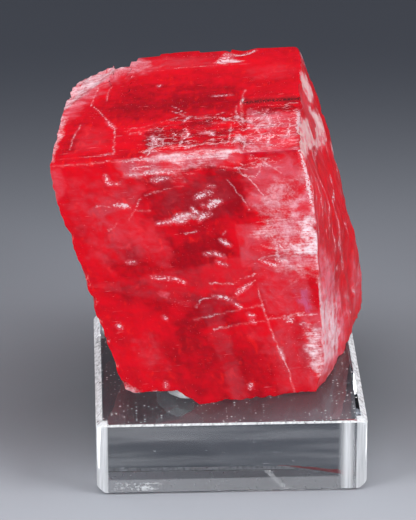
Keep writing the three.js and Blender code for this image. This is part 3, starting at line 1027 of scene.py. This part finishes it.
def chip_edges(points, chips):
    """Pushes the surface in, towards the middle, around each chip."""
    middle = (np.array(RHOMB_LOW) + np.array(RHOMB_HIGH)) / 2
    for across, down, back, reach, depth in chips:
        centre = np.array((across, down, back))
        away = np.linalg.norm(points - centre, axis=1)
        inward = (middle - centre) / np.linalg.norm(middle - centre)
        points += inward * (depth * rise(reach - away, 0.0, reach))[:, None]


CHIP_SEED = 5
CHIP_COUNT = 90
CHIP_REACH = (0.5, 1.3)  # in mm
CHIP_DEPTH = (0.2, 0.45)  # for its reach


def random_chips():
    """Small chips along the rhomb's edges."""
    draw = random.Random(CHIP_SEED)
    low, high = RHOMB_LOW, RHOMB_HIGH
    chips = []
    for _ in range(CHIP_COUNT):
        place = [draw.choice((low[axis], high[axis])) for axis in range(3)]
        axis = draw.randrange(3)
        place[axis] = draw.uniform(low[axis], high[axis])
        reach = draw.uniform(*CHIP_REACH)
        chips.append((*place, reach, reach * draw.uniform(*CHIP_DEPTH)))
    return tuple(chips)


SETTLING = 8  # rounds for the faces to meet, since each one's place depends on the others
GRID_EDGE = 1e-4  # how near the grid's edge a point counts as on a face, as a share of its width


def make_crystal(looks):
    """The rhomb as a fine grid, pulled to its faces and breaks and then worn."""
    grid = bmesh.new()
    bmesh.ops.create_cube(grid, size=1.0)
    bmesh.ops.translate(grid, verts=grid.verts, vec=(0.5, 0.5, 0.5))
    for axis, cuts in zip((0, 2, 1), looks.cuts):
        edges = [edge for edge in grid.edges if abs(edge.verts[0].co[axis] - edge.verts[1].co[axis]) > 0.5]
        bmesh.ops.subdivide_edges(grid, edges=edges, cuts=cuts, use_grid_fill=True)
    mesh = bpy.data.meshes.new("cleaved_crystal")
    grid.to_mesh(mesh)
    grid.free()

    flat = np.zeros(len(mesh.vertices) * 3, np.float32)
    mesh.vertices.foreach_get("co", flat)
    x, y, z = flat.reshape(-1, 3).astype(float).T
    share = np.stack((x, 1.0 - z, y), axis=1)
    low_side, high_side = share < GRID_EDGE, share > 1 - GRID_EDGE
    faces = {
        "left": low_side[:, ACROSS], "right": high_side[:, ACROSS],
        "top": low_side[:, DOWN], "bottom": high_side[:, DOWN],
        "front": low_side[:, BACK], "rear": high_side[:, BACK],
    }
    points = np.array(RHOMB_LOW) + share * (np.array(RHOMB_HIGH) - np.array(RHOMB_LOW))
    for _ in range(SETTLING):
        limits = crystal_limits(points)
        for axis, (low, high) in enumerate(limits):
            points[:, axis] = low + share[:, axis] * (high - low)

    marks = crystal_marks(points, faces)
    relief = face_relief(points, faces, marks)
    points[:, ACROSS] += relief["right"] - relief["left"]
    points[:, DOWN] += relief["bottom"] - relief["top"]
    points[:, BACK] += relief["rear"] - relief["front"]
    chip_edges(points, EDGE_CHIPS + random_chips())

    placed = CORNER + points @ EDGES
    placed[:, 2] = np.maximum(placed[:, 2], BLOCK_TOP + REST_GAP)
    mesh.vertices.foreach_set("co", (placed * MM).astype(np.float32).ravel())
    for name, values in marks.items():
        mesh.attributes.new(name, "FLOAT", "POINT").data.foreach_set("value", values.astype(np.float32))
    mesh.update()
    mesh.shade_smooth()
    mesh.set_sharp_from_angle(angle=np.radians(looks.sharp_angle))
    return mesh


NEARLY = 1e-6  # two heights this close are the same, in m
WIDENS_FROM = 0.94  # how far out the block's bevel starts to widen, as a share of its half width
SIDE_BEVEL_DROP = 0.8  # how far the side bevels go down for their width
BLOCK_SHARP_ANGLE = 25.0  # edges of the block that turn less look smooth, in degrees


def make_block(looks):
    """The polished block: upright corners rounded, top edges bevelled, wider at the sides."""
    block = bmesh.new()
    bmesh.ops.create_cube(block, size=1.0)
    middle, size = (BLOCK_LOW + BLOCK_HIGH) / 2, BLOCK_HIGH - BLOCK_LOW
    bmesh.ops.transform(block, verts=block.verts, matrix=Matrix.LocRotScale(middle, None, size))
    upright = [edge for edge in block.edges if abs(edge.verts[0].co.z - edge.verts[1].co.z) > size.z / 2]
    bmesh.ops.bevel(block, geom=upright, offset=looks.corner_radius, offset_type="OFFSET",
                    segments=looks.corner_steps, profile=0.5, affect="EDGES", material=-1)
    for height, way in ((BLOCK_HIGH.z, -1), (BLOCK_LOW.z, 1)):
        flat = [face for face in block.faces if all(abs(v.co.z - height) < NEARLY for v in face.verts)]
        inset = bmesh.ops.inset_region(block, faces=flat, thickness=looks.edge_bevel, use_even_offset=True)
        inner = set(flat[0].verts)
        outer = {vertex for face in inset["faces"] for vertex in face.verts} - inner
        for vertex in outer:
            sideways = max(0.0, abs(vertex.co.x) / BLOCK_HIGH.x - WIDENS_FROM) / (1.0 - WIDENS_FROM)
            wider = sideways * (looks.side_bevel - looks.edge_bevel)
            vertex.co.z += way * (looks.edge_bevel + wider * SIDE_BEVEL_DROP)
        for vertex in inner:
            vertex.co.x *= (BLOCK_HIGH.x - looks.side_bevel) / (BLOCK_HIGH.x - looks.edge_bevel)
    bmesh.ops.recalc_face_normals(block, faces=block.faces)
    for edge in block.edges:
        edge.smooth = edge.calc_face_angle() < np.radians(BLOCK_SHARP_ANGLE)
    for face in block.faces:
        face.smooth = True
    mesh = bpy.data.meshes.new("clear_block")
    block.to_mesh(mesh)
    block.free()
    return mesh


WAD_HEIGHT = 2.2  # how much taller the wad is before it is pressed flat
WAD_LUMP = 3 * MM  # the size of its lumps
WAD_LOOK_UP = 0.02  # how far above the block the crystal is looked for, in m
WAD_TUCK = 0.25  # how much narrower the wad is at its base


def make_tack(looks, crystal):
    """A wad pressed flat between the block's top and whatever of the crystal is above it."""
    wad = bmesh.new()
    bmesh.ops.create_icosphere(wad, subdivisions=5, radius=0.5)
    middle, size = (TACK_LOW + TACK_HIGH) / 2, TACK_HIGH - TACK_LOW
    middle.y -= looks.squeezed_out / 2
    size.y += looks.squeezed_out
    size.z *= WAD_HEIGHT
    bmesh.ops.transform(wad, verts=wad.verts, matrix=Matrix.LocRotScale(middle, None, size))
    lowest = BLOCK_HIGH.z + REST_GAP * MM
    for vertex in wad.verts:
        lump = noise.fractal(vertex.co / WAD_LUMP, 0.8, 2.0, 3) * looks.lumpiness
        vertex.co += vertex.normal * lump
        start = Vector((vertex.co.x, vertex.co.y, BLOCK_HIGH.z))
        hit = crystal.ray_cast(start, Vector((0, 0, 1)), WAD_LOOK_UP)[0]
        highest = hit.z - REST_GAP * MM if hit else TACK_HIGH.z
        vertex.co.z = max(lowest, min(vertex.co.z, highest))
        above_base = min(1.0, (vertex.co.z - lowest) / looks.undercut)
        narrowed = 1.0 - WAD_TUCK * (1.0 - above_base)
        vertex.co.x = middle.x + (vertex.co.x - middle.x) * narrowed
        vertex.co.y = middle.y + (vertex.co.y - middle.y) * narrowed
    mesh = bpy.data.meshes.new("tack_wad")
    wad.to_mesh(mesh)
    wad.free()
    mesh.shade_smooth()
    return mesh


def add_piece(name, mesh, material, replaced):
    """A finished mesh as a piece that rides with the specimen."""
    mesh.materials.append(material)
    piece = bpy.data.objects.new(name, mesh)
    bpy.context.scene.collection.objects.link(piece)
    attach(piece, "root")
    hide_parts(replaced)


# ---- what a user can change ----


def colour_setting(name, description, colour):
    return FloatVectorProperty(name=name, description=description, subtype="COLOR", default=colour)


def length_setting(name, description, length):
    return FloatProperty(name=name, description=description, unit="LENGTH", default=length)


class CrystalLooks(bpy.types.PropertyGroup):
    cuts: IntVectorProperty(
        name="Surface cuts", description="How finely the crystal is divided across, down and back",
        default=(188, 148, 60), min=8)
    sharp_angle: FloatProperty(
        name="Sharp angle", description="Edges sharper than this many degrees stay crisp", default=28.0)
    bright: colour_setting("Bright red", "The body's red where light fills it", (0.80, 0.003, 0.015))
    deep: colour_setting("Deep red", "The body's red where it is clear and dark", (0.34, 0.002, 0.010))
    # The next two colours are painted light: warm glints from sheets inside, and the shade along the top
    # face's riser.
    painted_glint: colour_setting("Flash", "Warm glints from sheets inside the crystal", (0.96, 0.010, 0.010))
    painted_riser_shade: colour_setting("Gloom", "Steps that look into the dark of the crystal", (0.06, 0.006, 0.010))
    lilac: colour_setting("Lilac", "Coloured fringes from thin gaps inside the crystal", (0.60, 0.20, 0.44))
    milk: colour_setting("Milky pink", "Sheets of tiny fractures inside the crystal", (0.84, 0.18, 0.245))
    milkiness: FloatProperty(
        name="Milkiness", description="How strongly the milky sheets show", default=1.0, min=0, max=2)
    chalk: colour_setting("Chalk white", "Scuffs and crushed crystal", (0.68, 0.62, 0.67))
    cream: colour_setting("Cream", "Weathered crusts on the broken side", (0.62, 0.42, 0.40))
    blush: colour_setting("Blush", "Thin parts of the scuffs", (0.70, 0.42, 0.47))
    inside: colour_setting("Inside colour", "What the crystal lets through", (0.90, 0.03, 0.05))
    depth_of_colour: FloatProperty(
        name="Depth of colour", description="Absorption for each metre of crystal", default=60.0, min=0)
    clearness: FloatProperty(
        name="Clearness", description="The share of light that passes through the surface",
        default=0.35, min=0, max=1)


class BlockLooks(bpy.types.PropertyGroup):
    corner_radius: length_setting("Corner radius", "Radius of the upright corners", 2.3 * MM)
    corner_steps: IntProperty(
        name="Corner steps", description="Facets around each upright corner", default=10, min=2)
    edge_bevel: length_setting("Edge bevel", "Bevel of the front and back edges", 0.33 * MM)
    side_bevel: length_setting("Side bevel", "Bevel of the left and right edges", 1.25 * MM)
    surface: colour_setting("Surface", "The polished acrylic itself", (0.985, 0.99, 1.0))
    # Frost also paints the highlights on the upright corners and the front.
    frost: colour_setting("Frost", "Dust, scratches and ground edges", (0.80, 0.82, 0.85))
    inside: colour_setting("Inside colour", "What the acrylic lets through", (0.86, 0.92, 1.0))
    depth_of_colour: FloatProperty(
        name="Depth of colour", description="Absorption for each metre of acrylic", default=4.0, min=0)


class TackLooks(bpy.types.PropertyGroup):
    tack: colour_setting("Tack", "Colour of the mineral tack", (0.84, 0.87, 0.88))
    squeezed_out: length_setting("Squeezed out", "How far the wad bulges at the front", 2.6 * MM)
    undercut: length_setting("Undercut", "How far up the wad widens from its base", 1.0 * MM)
    lumpiness: length_setting("Lumpiness", "How uneven the wad is", 0.4 * MM)


class StageLooks(bpy.types.PropertyGroup):
    # The pale and dim floor colours paint the light's fall-off over the floor, and the soft shade paints a
    # shadow beside the block.
    pale: colour_setting("Pale floor", "The floor near the object", (0.33, 0.343, 0.378))
    dim: colour_setting("Dim floor", "The floor far from the object", (0.042, 0.046, 0.057))
    backdrop: colour_setting(
        "Backdrop", "The studio behind the floor, which the far floor melts into", (0.060, 0.066, 0.080))
    overhead: colour_setting("Overhead", "The studio straight above", (0.40, 0.40, 0.42))
    pale_middle: length_setting("Pale middle", "Where along Y the floor is palest", -0.16)
    pale_reach: length_setting("Pale reach", "How far the pale floor reaches", 0.38)
    # Painted shadow: how far the floor's colour is darkened beside the block.
    painted_shade: FloatProperty(
        name="Soft shade", description="How much darker the floor is beside the block",
        default=0.45, min=0, max=1)


# ---- the stage ----

# The camera's lens in mm, its place in m, and which way its right side and its view point.
LENS = 242.3
CAMERA_PLACE = Vector((-0.0264, -0.6059, 0.3095))
CAMERA_RIGHT = Vector((0.9993, -0.0385, -0.0018))
CAMERA_VIEW = Vector((0.0344, 0.9111, -0.4107))
FLOOR_HALF = 4.0  # half the floor's side, in m
FLOOR_DROP = 0.15 * MM  # the floor lies just under the block
AIM = Vector((0.0, 0.0, 0.035))  # where the lamps point
LAMPS = (  # name, place, width and height in m, and power in W
    ("key", (0.00, -0.10, 0.72), 0.50, 0.45, 2.3),
    ("left", (-0.58, -0.30, 0.42), 0.38, 0.34, 4.8),
    ("right", (0.60, -0.24, 0.42), 0.38, 0.34, 5.7),
    ("front", (-0.16, -0.95, 0.26), 0.40, 0.25, 2.2),
    ("rear_left", (-0.62, 0.50, 0.42), 0.35, 0.35, 1.0),
    ("rear_right", (0.62, 0.50, 0.42), 0.35, 0.35, 1.0),
)


def add_camera(scene):
    camera = bpy.data.cameras.new("camera")
    camera.lens = LENS
    camera.clip_start = 0.01
    camera.clip_end = 20.0
    holder = bpy.data.objects.new("camera", camera)
    right, back = CAMERA_RIGHT.normalized(), -CAMERA_VIEW.normalized()
    turn = Matrix((right, back.cross(right), back)).transposed()
    holder.matrix_world = Matrix.Translation(CAMERA_PLACE) @ turn.to_4x4()
    scene.collection.objects.link(holder)
    scene.camera = holder


def add_floor(scene, looks):
    sweep = bmesh.new()
    bmesh.ops.create_grid(sweep, x_segments=1, y_segments=1, size=FLOOR_HALF)
    bmesh.ops.translate(sweep, verts=sweep.verts, vec=(0.0, 0.0, -FLOOR_DROP))
    mesh = bpy.data.meshes.new("floor")
    sweep.to_mesh(mesh)
    sweep.free()
    mesh.materials.append(floor_material(looks))
    floor = bpy.data.objects.new("floor", mesh)
    scene.collection.objects.link(floor)


def add_world(scene, looks):
    """A dim backdrop that brightens overhead."""
    scene.world = bpy.data.worlds.new("studio")
    w = Wiring(scene.world)
    direction = w.node("ShaderNodeTexCoord", output="Generated")
    upward = w.node("ShaderNodeSeparateXYZ", None, {0: direction}, "Z")
    colour = w.blend(upward.rise(0.6, 0.98), rgba(looks.backdrop), rgba(looks.overhead))
    glow = w.node("ShaderNodeBackground", None, {"Color": colour, "Strength": 1.0})
    w.node("ShaderNodeOutputWorld", None, {"Surface": glow})


def add_lamp(scene, name, place, width, height, power):
    lamp = bpy.data.lights.new(name, "AREA")
    lamp.shape = "RECTANGLE"
    lamp.size = width
    lamp.size_y = height
    lamp.energy = power
    stand = bpy.data.objects.new(name, lamp)
    stand.location = place
    stand.rotation_euler = (AIM - Vector(place)).to_track_quat("-Z", "Y").to_euler()
    scene.collection.objects.link(stand)


# ---- operators ----


class SPECIMEN_OT_stage(bpy.types.Operator):
    """Add the camera, the floor and the studio light"""

    bl_idname = "specimen.stage"
    bl_label = "Stage"

    def execute(self, context):
        scene = context.scene
        scene.view_settings.view_transform = "Standard"
        add_camera(scene)
        add_floor(scene, scene.stage_looks)
        add_world(scene, scene.stage_looks)
        for lamp in LAMPS:
            add_lamp(scene, *lamp)
        return {"FINISHED"}


class SPECIMEN_OT_block(bpy.types.Operator):
    """Add the clear display block"""

    bl_idname = "specimen.block"
    bl_label = "Display block"

    def execute(self, context):
        looks = context.scene.block_looks
        mesh, material = make_block(looks), block_material(looks)
        add_piece("clear_block", mesh, material, "display_block")
        return {"FINISHED"}


class SPECIMEN_OT_crystal(bpy.types.Operator):
    """Add the cleaved crystal"""

    bl_idname = "specimen.crystal"
    bl_label = "Crystal"

    def execute(self, context):
        looks = context.scene.crystal_looks
        mesh, material = make_crystal(looks), crystal_material(looks)
        add_piece("cleaved_crystal", mesh, material, "rhodochrosite_crystal")
        return {"FINISHED"}


class SPECIMEN_OT_tack(bpy.types.Operator):
    """Add the wad of tack between the block and the crystal's foot"""

    bl_idname = "specimen.tack"
    bl_label = "Mineral tack"

    def execute(self, context):
        looks = context.scene.tack_looks
        crystal = bpy.data.objects["cleaved_crystal"]
        mesh = make_tack(looks, BVHTree.FromObject(crystal, context.evaluated_depsgraph_get()))
        add_piece("tack_wad", mesh, tack_material(looks), "mounting_tack")
        return {"FINISHED"}


OPERATORS = (SPECIMEN_OT_stage, SPECIMEN_OT_block, SPECIMEN_OT_crystal, SPECIMEN_OT_tack)


class SPECIMEN_PT_sidebar(bpy.types.Panel):
    """Lists the specimen's pieces"""

    bl_label = "Specimen"
    bl_idname = "SPECIMEN_PT_sidebar"
    bl_space_type = "VIEW_3D"
    bl_region_type = "UI"
    bl_category = "Specimen"

    def draw(self, context):
        for operator in OPERATORS:
            self.layout.operator(operator.bl_idname)


LOOKS = {
    "stage_looks": StageLooks,
    "block_looks": BlockLooks,
    "crystal_looks": CrystalLooks,
    "tack_looks": TackLooks,
}


def register():
    for made in (*LOOKS.values(), *OPERATORS, SPECIMEN_PT_sidebar):
        bpy.utils.register_class(made)
    for name, group in LOOKS.items():
        setattr(bpy.types.Scene, name, PointerProperty(type=group))


def unregister():
    for name in LOOKS:
        delattr(bpy.types.Scene, name)
    for made in (SPECIMEN_PT_sidebar, *reversed(OPERATORS), *reversed(LOOKS.values())):
        bpy.utils.unregister_class(made)


def main():
    register()
    bpy.ops.specimen.stage()
    bpy.ops.specimen.block()
    bpy.ops.specimen.crystal()
    bpy.ops.specimen.tack()


if __name__ == "__main__":
    main()
